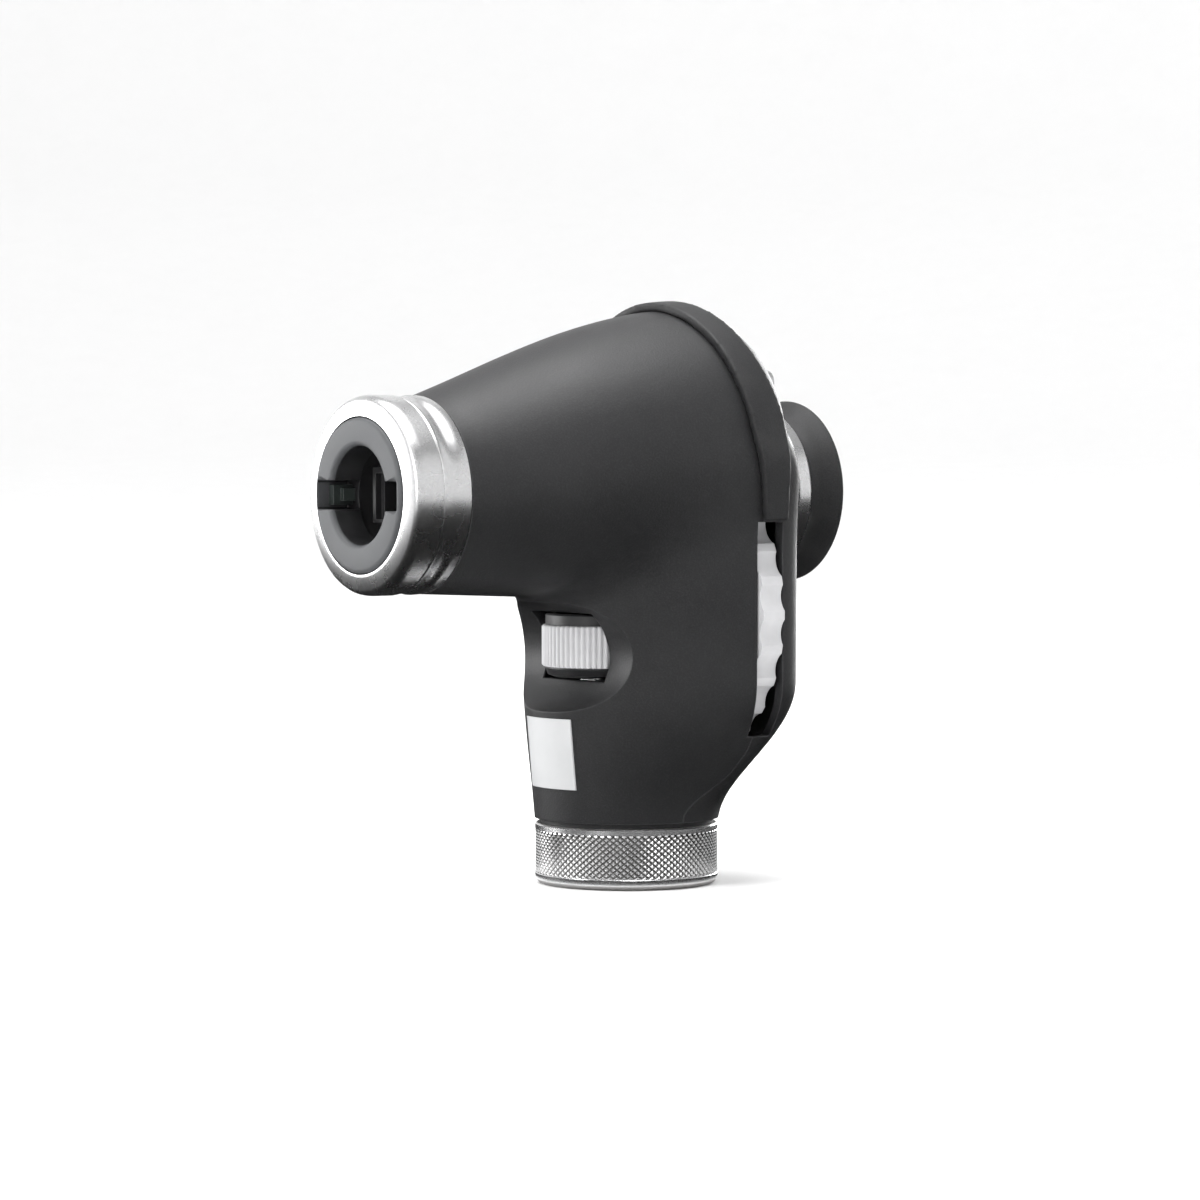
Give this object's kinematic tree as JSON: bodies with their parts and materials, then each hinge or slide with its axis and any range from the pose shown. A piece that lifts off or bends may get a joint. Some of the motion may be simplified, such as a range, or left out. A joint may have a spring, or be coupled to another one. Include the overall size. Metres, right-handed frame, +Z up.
{
  "type": "ophthalmoscope head",
  "caption": "Hand-held eye-examination head: conical nose with eyecup socket, side focus wheel, filter dial, brow rest, eyepiece and handle socket.",
  "frame": {"origin": "centre of the handle socket's mouth, on the bottom face of the knurled base ring", "axes": "+Z up along the handle's axis, -X towards the patient, +X towards the examiner's eye"},
  "size_m": [0.0878, 0.0534, 0.0967],
  "materials": {
    "body_plastic": "fine moulded texture",
    "soft_rubber": "matt",
    "satin_chrome": "satin",
    "grey_plastic": "fine satin",
    "black_plastic": "matt",
    "catch_plastic": "satin",
    "label": "printed film, blank",
    "black_aluminium": "black anodised",
    "optical_glass": "polished",
    "mirror_glass": "polished",
    "steel": "ground",
    "brass": "machined",
    "light_plastic": "satin",
    "filter_glass": "polished",
    "bare_aluminium": "machined",
    "board": "solder mask",
    "lamp_dome": "clear dome",
    "insulator_plastic": "plain"
  },
  "bodies": {
    "head": {"front_shell": "body_plastic", "rear_cover": "body_plastic", "brow_rest": "soft_rubber", "nose_ring": "satin_chrome", "nose_insert": "grey_plastic", "baffle_plate": "black_plastic", "slot_catches": "catch_plastic", "label_plate": "label", "optics_barrel": "black_aluminium", "objective_lens": "optical_glass", "objective_ring": "black_aluminium", "light_guide": "optical_glass", "guide_prism": "optical_glass", "beam_mirror": "mirror_glass", "mirror_block": "black_plastic", "front_bulkhead": "black_aluminium", "rear_bulkhead": "black_aluminium", "bulkhead_posts": "steel", "guide_rods": "steel", "wheel_axle": "steel", "eyepiece_tube": "black_aluminium", "eyepiece_lens": "optical_glass", "field_lens": "optical_glass", "eyepiece_ring": "satin_chrome", "eyecup": "soft_rubber", "eye_window": "optical_glass", "dial_axle": "steel", "dial_bridge": "black_plastic", "detent_spring": "steel", "lamp_block": "bare_aluminium", "led_board": "board", "led_lamp": "lamp_dome", "condenser_tube": "black_aluminium", "condenser_lens": "optical_glass", "knurled_ring": "satin_chrome", "handle_socket": "satin_chrome", "socket_clamp": "brass", "socket_screws": "steel", "neck_seal": "soft_rubber", "contact_insulator": "insulator_plastic", "contact_spring": "steel", "driver_board": "board", "cover_posts": "steel", "cover_screws": "steel"},
    "focus_wheel": {"focus_wheel": "light_plastic", "wheel_gear": "brass"},
    "focus_screw": {"focus_screw": "steel", "screw_pinion": "brass"},
    "focus_carriage": {"focus_carriage": "black_aluminium", "focus_lens": "optical_glass", "drive_nut": "brass"},
    "aperture_dial": {"aperture_dial": "light_plastic", "dial_core": "black_plastic", "aperture_stops": "steel", "dial_filters": "filter_glass"},
    "contact_pin": {"contact_pin": "brass"}
  },
  "joints": [
    {"name": "focus_wheel_turn", "type": "hinge", "parent": "head", "child": "focus_wheel", "pos_m": [0.011, 0, 0.045], "axis": [1, 0, 0], "range_deg": [-100, 100]},
    {"name": "focus_screw_turn", "type": "hinge", "parent": "head", "child": "focus_screw", "pos_m": [0, 0.009, 0.05624], "axis": [1, 0, 0], "range_deg": [-200.01, 200.01]},
    {"name": "focus_carriage_slide", "type": "slide", "parent": "head", "child": "focus_carriage", "axis": [1, 0, 0], "range_m": [-0.00278, 0.00278]},
    {"name": "aperture_dial_turn", "type": "hinge", "parent": "head", "child": "aperture_dial", "pos_m": [-0.0055, 0, 0.0397], "axis": [0, 0, 1], "continuous": true},
    {"name": "contact_pin_travel", "type": "slide", "parent": "head", "child": "contact_pin", "axis": [0, 0, 1], "range_m": [0, 0.0012], "stiffness_N_per_m": 400, "springref_m": -0.001, "deforming": ["contact_spring"]}
  ],
  "couplings": [
    {"joint": "focus_screw_turn", "follows": "focus_wheel_turn", "ratio": -2},
    {"joint": "focus_carriage_slide", "follows": "focus_wheel_turn", "m_per_rad": 0.0015915}
  ]
}
